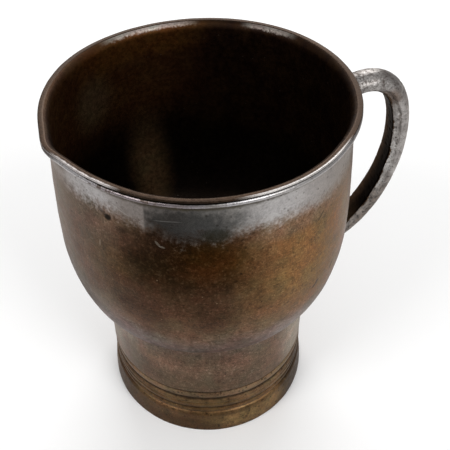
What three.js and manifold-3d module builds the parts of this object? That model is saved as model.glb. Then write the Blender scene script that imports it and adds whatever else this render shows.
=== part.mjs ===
// Footed beer mug of tinned brass, in millimetres, +Z up.
// A spun bowl on a straight waist, a half-round bead under the turned lip, a turned foot ring
// with a let-in base disc, and a cast C handle. The joints are soft-soldered.
// The mug's round parts share one vertical axis. The origin is the middle of the whole mug's
// outline seen from above, handle included, on the surface that the mug stands on.

import * as THREE from 'three';
import { mergeVertices } from 'three/addons/utils/BufferGeometryUtils.js';
import Module from 'manifold-3d';

const wasm = await Module();
wasm.setup();

// Driving dimensions
const lipRadius = 50;
const mugHeight = 130;
const widestRadius = 49.85;
const widestHeight = 83.7;
const wallTopRadius = 47.7;
const waistRadius = 37.8;
const waistTop = 51.6;
const footHeight = 24;
const footRadius = 39.2;
const sheet = 1.2;
const handleReach = 75.5;
const handleThickness = 6.8;
const handleWidth = 9.8;
const solderGap = 0.3;

// Facets
const roundSegments = 60;
const handleStations = 40;
const handleArcSteps = 12;
const curveSteps = 9;

// Lip and bead
const lipThickness = 0.5;
const lipEdge = 0.2;
const lipFlat = 1.5;
const lipEdgeRadius = lipRadius - 0.2;
const beadTop = mugHeight - lipThickness - solderGap;
const beadHeight = 1.8;
const beadBottom = beadTop - beadHeight;

// Places and sizes of the pulled lip, as angles from the handle, widths and depths
const lipPulls = [
  { angle: 192, spread: 7.5, depth: 1.4 },
  { angle: 219, spread: 17, depth: -0.8 },
  { angle: 311, spread: 14, depth: -0.4 },
  { angle: 40, spread: 32, depth: 0.6 },
  { angle: 130, spread: 20, depth: 0.4 },
];
const pullStart = 115;
const pullPower = 1.6;

// Foot ring and base disc
const spigotHeight = 5;
const spigotWall = 1.8;
const skirtHeight = 10.2;
const ledgeHeight = 12;
const ledgeWidth = 1.6;
const restWidth = 2.4;
const discThickness = 1.4;
const filletSize = 1.3;
const grooveDepth = 0.9;

// Handle: its centre line leaves the wall, arches over and runs down to the foot of the bowl
const handleStart = [46, 120.3];
const handleOuter = handleReach - handleThickness / 2;
const handleTurnHeight = 98.2;
const handleEnd = [36, 54.9];
const startPull = [19.8, 10.5];
const upperPull = 17.7;
const lowerPull = 19.3;
const endPull = [24, -3.5];
const flatAtStart = 3;
const flatAtEnd = 9.6;
const bellyShare = 0.4;
const collarWidth = 1;
const collarHeight = 1.4;

function point(radius, height) {
  return new THREE.Vector2(radius, height);
}

// A solid of revolution about Z from a closed profile that runs up its outside
function revolve(profile) {
  const geometry = new THREE.LatheGeometry(profile, roundSegments);
  geometry.rotateX(Math.PI / 2);
  return geometry;
}

function curvePoints(curve, steps) {
  return curve.getPoints(steps);
}

// Moves each profile point along the profile's normal
function offsetProfile(points, distance) {
  return points.map((current, index) => {
    const before = points[Math.max(index - 1, 0)];
    const after = points[Math.min(index + 1, points.length - 1)];
    const along = after.clone().sub(before).normalize();
    return point(current.x + along.y * distance, current.y - along.x * distance);
  });
}

// Outer wall from the bottom of the waist to just under the lip
function wallProfile() {
  const crease = point(waistRadius + 0.8, waistTop);
  const lower = new THREE.CubicBezierCurve(
    crease,
    point(widestRadius - 2.6, waistTop + 5.6),
    point(widestRadius, widestHeight - 7.6),
    point(widestRadius, widestHeight),
  );
  const upper = new THREE.CubicBezierCurve(
    point(widestRadius, widestHeight),
    point(widestRadius, widestHeight + 18.7),
    point(wallTopRadius + 0.7, mugHeight - 15.6),
    point(wallTopRadius, mugHeight - 3),
  );
  return [
    point(waistRadius, footHeight + solderGap),
    point(waistRadius, waistTop - 2.4),
    point(waistRadius + 0.2, waistTop - 0.8),
    ...curvePoints(lower, curveSteps),
    ...curvePoints(upper, curveSteps).slice(1),
  ];
}

// The lip is pulled outwards opposite the handle and pressed in beside it
function pullLip(geometry) {
  const position = geometry.attributes.position;
  for (let i = 0; i < position.count; i += 1) {
    const x = position.getX(i);
    const y = position.getY(i);
    const height = position.getZ(i);
    const radius = Math.hypot(x, y);
    const angle = THREE.MathUtils.radToDeg(Math.atan2(y, x));
    const fade = THREE.MathUtils.clamp((height - pullStart) / (mugHeight - pullStart), 0, 1) ** pullPower;
    let shift = 0;
    for (const pull of lipPulls) {
      const turn = THREE.MathUtils.euclideanModulo(angle - pull.angle + 180, 360) - 180;
      shift += pull.depth * Math.exp(-((turn / pull.spread) ** 2));
    }
    const scale = 1 + (shift * fade) / radius;
    position.setXY(i, x * scale, y * scale);
  }
  return geometry;
}

function bodyGeometry() {
  const outside = wallProfile();
  const inside = offsetProfile(outside, -sheet).reverse();
  inside.pop();
  const lipInnerRadius = lipEdgeRadius - lipFlat;
  const lip = [
    point(wallTopRadius, mugHeight - lipThickness),
    point(lipEdgeRadius - lipEdge, mugHeight - lipThickness),
    point(lipEdgeRadius, mugHeight - lipThickness + lipEdge),
    point(lipEdgeRadius, mugHeight - lipEdge),
    point(lipEdgeRadius - lipEdge, mugHeight),
    point(lipInnerRadius, mugHeight),
    point(lipInnerRadius - 1.1, mugHeight - 0.7),
    point(wallTopRadius - sheet, mugHeight - 2.2),
  ];
  const bottomInside = point(waistRadius - sheet, footHeight + solderGap);
  return pullLip(revolve([...outside, ...lip, ...inside, bottomInside, outside[0]]));
}

function beadGeometry() {
  const inner = wallTopRadius + solderGap;
  const middle = beadTop - beadHeight / 2;
  const bulge = new THREE.EllipseCurve(
    inner + 0.4, middle, lipRadius - inner - 0.4, beadHeight / 2, -Math.PI / 2, Math.PI / 2,
  );
  const face = curvePoints(bulge, 6);
  return pullLip(revolve([point(inner, beadBottom), ...face, point(inner, beadTop), point(inner, beadBottom)]));
}

// Reeded band of two beads and grooves over a plain, slightly spread skirt
function footGeometry() {
  const skirtTop = waistRadius + 0.6;
  const grooveRadius = waistRadius - grooveDepth;
  const spigotRadius = waistRadius - sheet - solderGap;
  const boreRadius = spigotRadius - spigotWall;
  const outside = [
    point(footRadius - restWidth - 0.6, 0),
    point(footRadius - 0.5, 0),
    point(footRadius, 0.6),
    point(footRadius - 0.2, 4),
    point(skirtTop, skirtHeight - 0.7),
    point(skirtTop - 0.5, skirtHeight),
    point(grooveRadius + 0.3, skirtHeight + 0.5),
    point(waistRadius, skirtHeight + 1.2),
    point(waistRadius, skirtHeight + 2.2),
    point(grooveRadius + 0.2, skirtHeight + 3.3),
    point(waistRadius, skirtHeight + 4.4),
    point(waistRadius + 0.1, skirtHeight + 6),
    point(waistRadius, skirtHeight + 7.6),
    point(grooveRadius, skirtHeight + 9.1),
    point(waistRadius - 0.2, skirtHeight + 10.6),
    point(waistRadius, skirtHeight + 11.8),
    point(waistRadius - 0.3, skirtHeight + 12.8),
    point(grooveRadius, footHeight),
    point(spigotRadius, footHeight),
    point(spigotRadius, footHeight + spigotHeight),
  ];
  const inside = [
    point(boreRadius, footHeight + spigotHeight),
    point(boreRadius, ledgeHeight),
    point(boreRadius - ledgeWidth, ledgeHeight),
    point(boreRadius - ledgeWidth, ledgeHeight - 2.5),
    point(boreRadius + 0.6, ledgeHeight - 6),
  ];
  return revolve([...outside, ...inside, outside[0]]);
}

function discRadius() {
  return waistRadius - sheet - solderGap - spigotWall - solderGap;
}

function discGeometry() {
  const low = ledgeHeight + solderGap;
  const high = low + discThickness;
  return revolve([point(0, low), point(discRadius(), low), point(discRadius(), high), point(0, high)]);
}

// A three-sided ring of solder that fills the corner between a floor and a wall
function cornerFillet(wall, floor) {
  return revolve([
    point(wall - filletSize, floor),
    point(wall, floor),
    point(wall, floor + filletSize),
    point(wall - filletSize, floor),
  ]);
}

// Centre line of the handle in the plane y = 0
function handlePath() {
  const [startRadius, startHeight] = handleStart;
  const [endRadius, endHeight] = handleEnd;
  const path = new THREE.CurvePath();
  path.add(new THREE.CubicBezierCurve(
    point(startRadius, startHeight),
    point(startRadius + startPull[0], startHeight + startPull[1]),
    point(handleOuter, handleTurnHeight + upperPull),
    point(handleOuter, handleTurnHeight),
  ));
  path.add(new THREE.CubicBezierCurve(
    point(handleOuter, handleTurnHeight),
    point(handleOuter, handleTurnHeight - lowerPull),
    point(endRadius + endPull[0], endHeight + endPull[1]),
    point(endRadius, endHeight),
  ));
  return path;
}

// Half-round section with a flat inner face that widens towards the lower end
function handleSection(share, growth) {
  const width = handleWidth / 2 + growth;
  const flat = THREE.MathUtils.lerp(flatAtStart, flatAtEnd, share) / 2 + growth * 0.7;
  const depth = handleThickness + 2 * growth;
  const section = [point(-flat, -depth / 2)];
  for (let i = 0; i <= handleArcSteps; i += 1) {
    const turn = Math.PI * (i / handleArcSteps - 0.5);
    const rise = bellyShare + (1 - bellyShare) * Math.cos(turn);
    section.push(point(width * Math.sin(turn), depth * (rise - 0.5)));
  }
  section.push(point(flat, -depth / 2));
  return section;
}

// A closed solid swept along the handle's centre line, grown outwards by a margin
function sweepHandle(growth) {
  const path = handlePath();
  const corners = handleArcSteps + 3;
  const vertices = [];
  const triangles = [];
  for (let i = 0; i <= handleStations; i += 1) {
    const share = i / handleStations;
    const centre = path.getPointAt(share);
    const along = path.getTangentAt(share);
    for (const corner of handleSection(share, growth)) {
      vertices.push(centre.x - along.y * corner.y, corner.x, centre.y + along.x * corner.y);
    }
  }
  for (let i = 0; i < handleStations; i += 1) {
    for (let j = 0; j < corners; j += 1) {
      const here = i * corners + j;
      const beside = i * corners + ((j + 1) % corners);
      triangles.push(here, here + corners, beside, beside, here + corners, beside + corners);
    }
  }
  const last = handleStations * corners;
  for (let j = 1; j < corners - 1; j += 1) {
    triangles.push(0, j, j + 1);
    triangles.push(last, last + j + 1, last + j);
  }
  const geometry = new THREE.BufferGeometry();
  geometry.setAttribute('position', new THREE.Float32BufferAttribute(vertices, 3));
  geometry.setIndex(triangles);
  return geometry;
}

function toSolid(geometry) {
  const bare = geometry.clone();
  bare.deleteAttribute('normal');
  bare.deleteAttribute('uv');
  const welded = mergeVertices(bare, 1e-3);
  return new wasm.Manifold(new wasm.Mesh({
    numProp: 3,
    vertProperties: new Float32Array(welded.attributes.position.array),
    triVerts: new Uint32Array(welded.index.array),
  }));
}

function toGeometry(solid) {
  const mesh = solid.getMesh();
  const geometry = new THREE.BufferGeometry();
  geometry.setAttribute('position', new THREE.BufferAttribute(mesh.vertProperties, 3));
  geometry.setIndex(new THREE.BufferAttribute(mesh.triVerts, 1));
  const flat = geometry.toNonIndexed();
  flat.computeVertexNormals();
  return flat;
}

// Everything inside the outer wall, grown by a margin
function wallSolid(margin) {
  const outside = offsetProfile(wallProfile(), margin);
  const bottom = point(0, outside[0].y);
  const top = point(0, outside[outside.length - 1].y);
  return toSolid(revolve([bottom, ...outside, top]));
}

function halfSpace(height, above) {
  const size = 200;
  const box = new THREE.BoxGeometry(size, size, size);
  box.translate(0, 0, above ? height + size / 2 : height - size / 2);
  return toSolid(box);
}

const keepOut = wallSolid(solderGap);

function handleGeometry() {
  return toGeometry(toSolid(sweepHandle(0)).subtract(keepOut));
}

// A collar of solder round one end of the handle, where it meets the wall
function collarGeometry(above) {
  const skin = wallSolid(solderGap + collarHeight).subtract(keepOut);
  const around = toSolid(sweepHandle(solderGap + collarWidth)).subtract(toSolid(sweepHandle(solderGap)));
  return toGeometry(around.intersect(skin).intersect(halfSpace(widestHeight, above)));
}

const mug = new THREE.Group();

function add(name, geometry, colour, roughness, metalness) {
  const material = new THREE.MeshStandardMaterial({ color: colour, roughness, metalness });
  const mesh = new THREE.Mesh(geometry, material);
  mesh.name = name;
  mug.add(mesh);
}

const discTop = ledgeHeight + solderGap + discThickness + solderGap;
const spigotTop = footHeight + spigotHeight + solderGap;
const wornTin = 0x6e6052;
const brownBrass = 0x5c4a36;
const castMetal = 0x8d8783;
const solderGrey = 0x77736c;

add('body', bodyGeometry(), wornTin, 0.42, 0.9);
add('rim_bead', beadGeometry(), castMetal, 0.35, 0.95);
add('foot_ring', footGeometry(), brownBrass, 0.45, 0.9);
add('base_disc', discGeometry(), brownBrass, 0.5, 0.85);
add('handle', handleGeometry(), castMetal, 0.5, 0.9);
add('upper_handle_solder', collarGeometry(true), solderGrey, 0.6, 0.7);
add('lower_handle_solder', collarGeometry(false), solderGrey, 0.6, 0.7);
add('foot_solder', cornerFillet(waistRadius - sheet - solderGap, spigotTop), solderGrey, 0.6, 0.7);
add('base_solder', cornerFillet(discRadius() - 0.1, discTop), solderGrey, 0.6, 0.7);

const outline = new THREE.Box3().setFromObject(mug);
mug.position.x = -(outline.min.x + outline.max.x) / 2;

export default mug;
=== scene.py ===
"""Looks of the footed beer mug: worn tin over brown brass, with a grey cast handle."""

import math
from bisect import bisect_left

import bmesh
import bpy
from mathutils import Matrix, Vector, noise


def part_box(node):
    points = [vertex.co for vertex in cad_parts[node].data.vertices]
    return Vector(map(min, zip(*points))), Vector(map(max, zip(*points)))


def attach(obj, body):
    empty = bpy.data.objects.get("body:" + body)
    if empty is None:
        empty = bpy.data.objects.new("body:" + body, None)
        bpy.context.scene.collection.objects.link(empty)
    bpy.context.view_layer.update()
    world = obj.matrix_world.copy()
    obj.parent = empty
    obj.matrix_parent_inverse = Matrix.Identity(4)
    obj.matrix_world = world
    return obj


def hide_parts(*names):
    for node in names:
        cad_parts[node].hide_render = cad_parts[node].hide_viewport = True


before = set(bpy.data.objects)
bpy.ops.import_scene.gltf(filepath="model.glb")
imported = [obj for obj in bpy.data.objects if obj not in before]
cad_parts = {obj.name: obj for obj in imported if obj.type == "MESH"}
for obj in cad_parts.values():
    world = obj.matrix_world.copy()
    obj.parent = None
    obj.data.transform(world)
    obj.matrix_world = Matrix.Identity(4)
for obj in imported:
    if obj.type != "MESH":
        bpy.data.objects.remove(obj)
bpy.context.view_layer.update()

MM = 0.001

# The dimensions of the CAD source, in millimetres
LIP_RADIUS = 49.8
BEAD_RADIUS = 50.0
MUG_HEIGHT = 130.0
WIDEST_RADIUS = 49.85
WIDEST_HEIGHT = 83.7
WALL_TOP_RADIUS = 47.7
WALL_TOP = 127.0
WAIST_RADIUS = 37.8
WAIST_TOP = 51.6
WAIST_STRAIGHT_TOP = 49
FOOT_HEIGHT = 24.0
FOOT_RADIUS = 39.2
SPIGOT_TOP = 29.0
DISC_SEAT = 12.0
DISC_BOTTOM = 12.3
DISC_TOP = 13.7
SOLDER_SIZE = 1.3
SHEET = 1.2
LIP_THICKNESS = 0.5
LIP_FLAT = 1.5
BEAD_HEIGHT = 1.8
GAP = 0.3
HANDLE_WIDTH = 9.8
HANDLE_THICKNESS = 6.8
HANDLE_UPPER = ((46.0, 120.3), (65.8, 130.8), (72.1, 115.9), (72.1, 98.2))
HANDLE_LOWER = ((72.1, 98.2), (72.1, 78.9), (60.0, 51.4), (36.0, 54.9))
FLAT_AT_START = 3.0
FLAT_AT_END = 9.6
BELLY_SHARE = 0.4
# Where the lip is pulled out or pressed in: degrees from the handle, reach in degrees, distance
LIP_PULLS = ((192.0, 7.5, 1.4), (219.0, 17.0, -0.8), (311.0, 14.0, -0.4), (40.0, 32.0, 0.6),
             (130.0, 20.0, 0.4))
PULL_START = 115.0
PULL_POWER = 1.6

foot_low, foot_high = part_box("foot_ring")
AXIS_X = (foot_low[0] + foot_high[0]) / 2

# Fineness of the meshes; points nearer than the merge distance, in metres, become one
SEGMENTS = 300
SMALL_SEGMENTS = 180
CORNER_STEPS = 5
MERGE_DISTANCE = 1e-7
SHARP_DEGREES = 38
HANDLE_SHARP_DEGREES = 50
SOLDER_SHARP_DEGREES = 60


# Profiles

def cubic(points, count, first=0.0):
    """Points on a cubic Bezier curve, from the share first to its end."""
    line = []
    for i in range(count + 1):
        t = first + (1 - first) * i / count
        weights = ((1 - t) ** 3, 3 * t * (1 - t) ** 2, 3 * t * t * (1 - t), t ** 3)
        line.append(tuple(sum(w * p[k] for w, p in zip(weights, points)) for k in (0, 1)))
    return line


def bend(start, corner, end, count):
    """Points on a quadratic Bezier curve."""
    line = []
    for i in range(count + 1):
        t = i / count
        weights = ((1 - t) ** 2, 2 * t * (1 - t), t * t)
        line.append(tuple(sum(w * p for w, p in zip(weights, row))
                          for row in zip(start, corner, end)))
    return line


def rounded(corners):
    """A closed loop whose corners, given as (radius, height, rounding), are rounded off."""
    line = []
    total = len(corners)
    for i, (x, y, size) in enumerate(corners):
        if not size:
            line.append((x, y))
            continue
        here = Vector((x, y))
        ends = []
        for other in (corners[i - 1], corners[(i + 1) % total]):
            away = Vector(other[:2]) - here
            ends.append(tuple(here + away.normalized() * min(size, away.length * 0.48)))
        line.extend(bend(ends[0], (x, y), ends[1], CORNER_STEPS))
    return line


def dense(line, step):
    """The closed loop with points added so that no edge is longer than step."""
    made = []
    for i, here in enumerate(line):
        after = Vector(line[(i + 1) % len(line)])
        here = Vector(here)
        count = max(1, math.ceil((after - here).length / step))
        made.extend(tuple(here.lerp(after, k / count)) for k in range(count))
    return made


def offset(line, distance):
    """An open line moved along its own normal."""
    made = []
    for i, here in enumerate(line):
        before = Vector(line[max(i - 1, 0)])
        along = (Vector(line[min(i + 1, len(line) - 1)]) - before).normalized()
        made.append((here[0] + along.y * distance, here[1] - along.x * distance))
    return made


LOWER_WALL = ((WAIST_RADIUS + 0.8, WAIST_TOP), (WIDEST_RADIUS - 2.6, WAIST_TOP + 5.6),
              (WIDEST_RADIUS, WIDEST_HEIGHT - 7.6), (WIDEST_RADIUS, WIDEST_HEIGHT))
UPPER_WALL = ((WIDEST_RADIUS, WIDEST_HEIGHT), (WIDEST_RADIUS, WIDEST_HEIGHT + 18.7),
              (WALL_TOP_RADIUS + 0.7, MUG_HEIGHT - 15.6), (WALL_TOP_RADIUS, WALL_TOP))
lower_line = cubic(LOWER_WALL, 44, 0.06)
WALL = [(WAIST_RADIUS, FOOT_HEIGHT + GAP)]
WALL += [(WAIST_RADIUS, height) for height in range(26, WAIST_STRAIGHT_TOP)]
WALL += bend((WAIST_RADIUS, WAIST_STRAIGHT_TOP), (WAIST_RADIUS + 0.15, WAIST_TOP - 0.4),
             lower_line[0], 7)
WALL += lower_line[1:]
WALL += cubic(UPPER_WALL, 48)[1:]
WALL_HEIGHTS = [height for _, height in WALL]


def wall_radius(height):
    """Outer radius of the body at a height."""
    i = min(max(bisect_left(WALL_HEIGHTS, height), 1), len(WALL) - 1)
    (r0, z0), (r1, z1) = WALL[i - 1], WALL[i]
    share = (height - z0) / (z1 - z0)
    return r0 + (r1 - r0) * share


# Shape of the worn metal

def around(angle, radius, height):
    """The place at an angle and a distance from the axis."""
    return Vector((math.cos(angle) * radius, math.sin(angle) * radius, height))


def lip_pull(angle, height):
    """How far the lip is pulled out or pressed in."""
    fade = min(max((height - PULL_START) / (MUG_HEIGHT - PULL_START), 0), 1) ** PULL_POWER
    shift = 0
    for place, spread, depth in LIP_PULLS:
        turn = (math.degrees(angle) - place + 180) % 360 - 180
        shift += depth * math.exp(-((turn / spread) ** 2))
    return shift * fade


# Unevenness in layers: depth, size of the lumps, and a shift that gives each its own pattern
WALL_LAYERS = ((0.13, 26, (0, 0, 0)), (0.05, 9, (7, 3, 1)), (0.012, 2.6, (2, 9, 4)))
BEAD_LAYERS = ((0.05, 4, (0, 0, 0)),)
FOOT_LAYERS = ((0.09, 14, (0, 0, 0)), (0.025, 3, (0, 0, 0)))
DISC_LAYERS = ((0.04, 1, (0, 0, 0)),)
SOLDER_LAYERS = ((0.25, 3, (0, 0, 0)),)
HANDLE_LAYERS = ((0.09, 8, (0, 0, 0)), (0.035, 2.4, (4, 4, 4)))


def uneven(place, layers):
    """Sum of the layers' noises at a place."""
    return sum(depth * noise.noise(place / size + Vector(shift)) for depth, size, shift in layers)


# Small dents: angle from the handle, height, reach and depth
DENTS = ((220.5, 118.3, 1.3, 0.35), (236.0, 96.0, 6.0, 0.16), (283.0, 74.0, 8.0, 0.14),
         (268.0, 104.0, 3.0, 0.1), (60.0, 90.0, 7.0, 0.2), (120.0, 70.0, 6.0, 0.18),
         (300.0, 40.0, 5.0, 0.12), (150.0, 104.0, 4.0, 0.16))
# A dent is left out where its depth has fallen below exp(-6)
DENT_END = 6


def wall_wear(angle, height):
    """Unevenness of the beaten and worn wall."""
    radius = wall_radius(height)
    shift = uneven(around(angle, radius, height), WALL_LAYERS)
    for turn, level, reach, depth in DENTS:
        across = ((math.degrees(angle) - turn + 180) % 360 - 180) * radius * math.pi / 180
        away = (across ** 2 + (height - level) ** 2) / reach ** 2
        if away < DENT_END:
            shift -= depth * math.exp(-away)
    return shift


def wall_shape(angle, radius, height):
    """How far the wall, lip and bead are moved outwards."""
    rough = uneven(around(angle, BEAD_RADIUS, height), BEAD_LAYERS)
    return lip_pull(angle, height) + wall_wear(angle, height) + rough


def foot_shape(angle, radius, height):
    """How far the foot is moved outwards."""
    return uneven(around(angle, radius, height), FOOT_LAYERS)


def finish_piece(name, vertices, faces, node, zones=None, sharp=SHARP_DEGREES):
    """Makes the mesh object that stands for a CAD node."""
    mesh = bpy.data.meshes.new(name)
    mesh.from_pydata([tuple(Vector(v) * MM + Vector((AXIS_X, 0, 0))) for v in vertices], [], faces)
    work = bmesh.new()
    work.from_mesh(mesh)
    bmesh.ops.remove_doubles(work, verts=work.verts, dist=MERGE_DISTANCE)
    bmesh.ops.recalc_face_normals(work, faces=work.faces)
    work.to_mesh(mesh)
    work.free()
    for i, face in enumerate(mesh.polygons):
        face.use_smooth = True
        if zones:
            face.material_index = zones[i]
    mesh.set_sharp_from_angle(angle=math.radians(sharp))
    made = bpy.data.objects.new(name, mesh)
    bpy.context.scene.collection.objects.link(made)
    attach(made, "root")
    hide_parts(node)
    return made


def revolve(name, profile, node, shape=None, zone=None, segments=SEGMENTS):
    """A closed solid of revolution about the mug's axis, bent by shape."""
    rows = len(profile)
    vertices, faces, zones = [], [], []
    for k in range(segments):
        angle = 2 * math.pi * k / segments
        for radius, height in profile:
            moved = radius + (shape(angle, radius, height) if shape and radius > 0 else 0)
            vertices.append(around(angle, moved, height))
    for k in range(segments):
        here, beside = k * rows, (k + 1) % segments * rows
        for j in range(rows):
            up = (j + 1) % rows
            if profile[j][0] == 0 and profile[up][0] == 0:
                continue
            ring = [here + j, beside + j, beside + up, here + up]
            if profile[j][0] == 0:
                ring = [here + j, beside + up, here + up]
            elif profile[up][0] == 0:
                ring = [here + j, beside + j, here + up]
            faces.append(ring)
            zones.append(zone(profile[j], profile[up]) if zone else 0)
    return finish_piece(name, vertices, faces, node, zones)


# Body with its turned lip

LIP_INNER = LIP_RADIUS - LIP_FLAT


def lip_corners():
    """Corners of the turned lip from outside to inside: radius, height and rounding."""
    top = MUG_HEIGHT
    return [
        (WALL_TOP_RADIUS, top - LIP_THICKNESS, 0.1),
        (LIP_RADIUS, top - LIP_THICKNESS, 0.2),
        (LIP_RADIUS, top, 0.22),
        (LIP_INNER, top, 0.3),
        (LIP_INNER - 1.1, top - 0.7, 0.7),
        (WALL_TOP_RADIUS - SHEET, top - 2.2, 1.2),
    ]


def body_profile():
    """The body's section: up the outside, over the lip and down the inside."""
    inside = offset(WALL, -SHEET)[::-1]
    corners = [(r, z, 0.0) for r, z in WALL[1:]]
    corners += lip_corners()
    corners += [(r, z, 0.0) for r, z in inside[1:-1]]
    corners.append((WAIST_RADIUS - SHEET, FOOT_HEIGHT + GAP, 0.0))
    corners.append((WAIST_RADIUS, FOOT_HEIGHT + GAP, 0.35))
    return dense(rounded(corners), 1.0)


def body_zone(here, after):
    """0 outside, 1 on the lip, 2 inside."""
    radius = (here[0] + after[0]) / 2
    height = (here[1] + after[1]) / 2
    if height > MUG_HEIGHT - LIP_THICKNESS - 0.05 and radius > LIP_INNER - 0.3:
        return 1
    if height > MUG_HEIGHT - LIP_THICKNESS + 0.01:
        return 2
    if height > WALL_TOP:
        return 0 if radius > WALL_TOP_RADIUS - 0.15 else 2
    return 0 if radius > wall_radius(height) - SHEET / 2 else 2


body = revolve("spun_body", body_profile(), "body", wall_shape, body_zone)

# Bead under the lip
BEAD_TOP = MUG_HEIGHT - LIP_THICKNESS - GAP
BEAD_BOTTOM = BEAD_TOP - BEAD_HEIGHT
BEAD_MIDDLE = (BEAD_TOP + BEAD_BOTTOM) / 2
BEAD_STEPS = 12


def bead_profile():
    """Half-round outside, flat against the wall."""
    inner = WALL_TOP_RADIUS + GAP
    line = [(inner, BEAD_BOTTOM), (inner + 0.35, BEAD_BOTTOM)]
    for i in range(BEAD_STEPS + 1):
        turn = math.pi * (i / BEAD_STEPS - 0.5)
        swell = (BEAD_RADIUS - inner - 0.4) * math.cos(turn) ** 0.75
        line.append((inner + 0.4 + swell, BEAD_MIDDLE + BEAD_HEIGHT / 2 * math.sin(turn)))
    line += [(inner + 0.35, BEAD_TOP), (inner, BEAD_TOP)]
    return dense(line, 0.8)


bead = revolve("bead_under_lip", bead_profile(), "rim_bead", wall_shape)

# Foot ring; its corners are radius, height and rounding
groove = WAIST_RADIUS - 0.9
spigot = WAIST_RADIUS - SHEET - GAP
bore = spigot - 1.8
foot_corners = [
    (FOOT_RADIUS - 3.0, 0, 0.4), (FOOT_RADIUS, 0, 0.55), (FOOT_RADIUS, 0.9, 0.4),
    (FOOT_RADIUS - 0.2, 4, 1.5), (WAIST_RADIUS + 0.6, 9.5, 0.5), (WAIST_RADIUS + 0.1, 10.3, 0.3),
    (groove + 0.2, 10.8, 0.35), (WAIST_RADIUS, 11.4, 0.35), (WAIST_RADIUS, 12.5, 0.35),
    (groove + 0.2, 13.5, 0.6), (WAIST_RADIUS + 0.05, 14.5, 0.5), (WAIST_RADIUS + 0.1, 16.1, 0.5),
    (WAIST_RADIUS - 0.35, 16.6, 0.15), (WAIST_RADIUS + 0.1, 17.1, 0.3), (WAIST_RADIUS, 18.2, 0.5),
    (groove, 19.4, 0.7), (WAIST_RADIUS - 0.1, 20.6, 0.6), (WAIST_RADIUS, 22.1, 0.6),
    (WAIST_RADIUS - 0.3, 23.1, 0.4), (groove, FOOT_HEIGHT, 0.2), (spigot, FOOT_HEIGHT, 0.2),
    (spigot, SPIGOT_TOP, 0.3), (bore, SPIGOT_TOP, 0.3), (bore, DISC_SEAT, 0.1),
    (bore - 1.6, DISC_SEAT, 0.3), (bore - 1.6, 9.5, 0.8), (bore + 0.6, 6, 1.5),
]
foot = revolve("turned_foot", dense(rounded(foot_corners), 0.7), "foot_ring",
               foot_shape)

# Base disc, with extra rings of points so that it can be uneven
disc_edge = bore - GAP
disc_corners = [(0, DISC_BOTTOM, 0), (disc_edge, DISC_BOTTOM, 0.2), (disc_edge, DISC_TOP, 0.3),
                (0, DISC_TOP, 0)]


def disc_shape(angle, radius, height):
    """How far the disc's edge and rings are moved outwards."""
    return uneven(around(angle, 9, height), DISC_LAYERS)


disc_line = rounded(disc_corners)
disc_line = [(r, DISC_BOTTOM) for r in range(0, 34, 2)] + disc_line[1:-1]
disc_line += [(r, DISC_TOP) for r in range(32, -2, -2)]
disc = revolve("base_plate", disc_line, "base_disc", disc_shape,
               segments=SMALL_SEGMENTS)


# Solder rings inside

def fillet_ring(name, wall, floor, node):
    """A hollow-faced, lumpy ring of solder in a corner."""
    top, inner = floor + SOLDER_SIZE, wall - SOLDER_SIZE
    line = [(wall, floor), (wall, top)]
    line += bend((wall - 0.12, top), (wall - 0.35, floor + 0.35), (inner, floor + 0.1), 6)
    line.append((inner, floor))

    def lumpy(angle, radius, height):
        if radius < wall - 0.1:
            return -abs(uneven(around(angle, 30, height), SOLDER_LAYERS))
        return 0

    return revolve(name, line, node, lumpy, segments=SMALL_SEGMENTS)


foot_fillet = fillet_ring("foot_solder_ring", spigot, SPIGOT_TOP + GAP, "foot_solder")
base_fillet = fillet_ring("base_solder_ring", disc_edge - 0.1, DISC_TOP + GAP, "base_solder")


# Handle
handle_line = cubic(HANDLE_UPPER, 300) + cubic(HANDLE_LOWER, 300)[1:]
handle_lengths = [0.0]
for before, after in zip(handle_line, handle_line[1:]):
    handle_lengths.append(handle_lengths[-1] + math.dist(before, after))


def handle_place(share):
    """Centre and direction of the handle's line at a share of its length."""
    along = share * handle_lengths[-1]
    i = min(max(bisect_left(handle_lengths, along), 1), len(handle_line) - 1)
    start, end = Vector(handle_line[i - 1]), Vector(handle_line[i])
    part = (along - handle_lengths[i - 1]) / (handle_lengths[i] - handle_lengths[i - 1])
    low, high = max(i - 3, 0), min(i + 2, len(handle_line) - 1)
    direction = (Vector(handle_line[high]) - Vector(handle_line[low])).normalized()
    return start.lerp(end, part), direction


HALF_ROUND_STEPS = 36
ARRIS = 0.45
# Lines of points along the handle, counted round its section: bounds of the face and the flanks
FACE_LINES = (50, 64)
FLANK_LINES = (40, 75)


def handle_section(share):
    """Half-round section with a flat inner face, as a closed loop of (sideways, outwards)."""
    half = HANDLE_WIDTH / 2
    flat = (FLAT_AT_START + (FLAT_AT_END - FLAT_AT_START) * share) / 2
    depth = HANDLE_THICKNESS
    side_level = depth * (BELLY_SHARE - 0.5)
    loop = []
    for i in range(HALF_ROUND_STEPS + 1):
        turn = math.pi * (i / HALF_ROUND_STEPS - 0.5)
        rise = BELLY_SHARE + (1 - BELLY_SHARE) * math.cos(turn)
        loop.append((half * math.sin(turn), depth * (rise - 0.5)))
    corner = Vector((flat, -depth / 2))
    below = Vector((half, side_level)).lerp(corner, 0.4)
    shoulder = bend((half, side_level + 0.02), (half, side_level - 0.4), tuple(below), 6)[1:]
    up = (Vector((half - 0.08, side_level - 0.5)) - corner).normalized() * ARRIS
    edge = bend(tuple(corner + up), tuple(corner), (flat - ARRIS, -depth / 2), 4)
    side = [tuple(Vector(shoulder[-1]).lerp(Vector(edge[0]), k / 7)) for k in range(1, 7)]
    right = shoulder + side + edge
    bottom = [((flat - ARRIS) * (1 - 2 * k / 9), -depth / 2) for k in range(1, 9)]
    loop += right + bottom + [(-x, y) for x, y in reversed(right)]
    return loop


SECTION_COUNT = len(handle_section(0))
HALVINGS = 26


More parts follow.
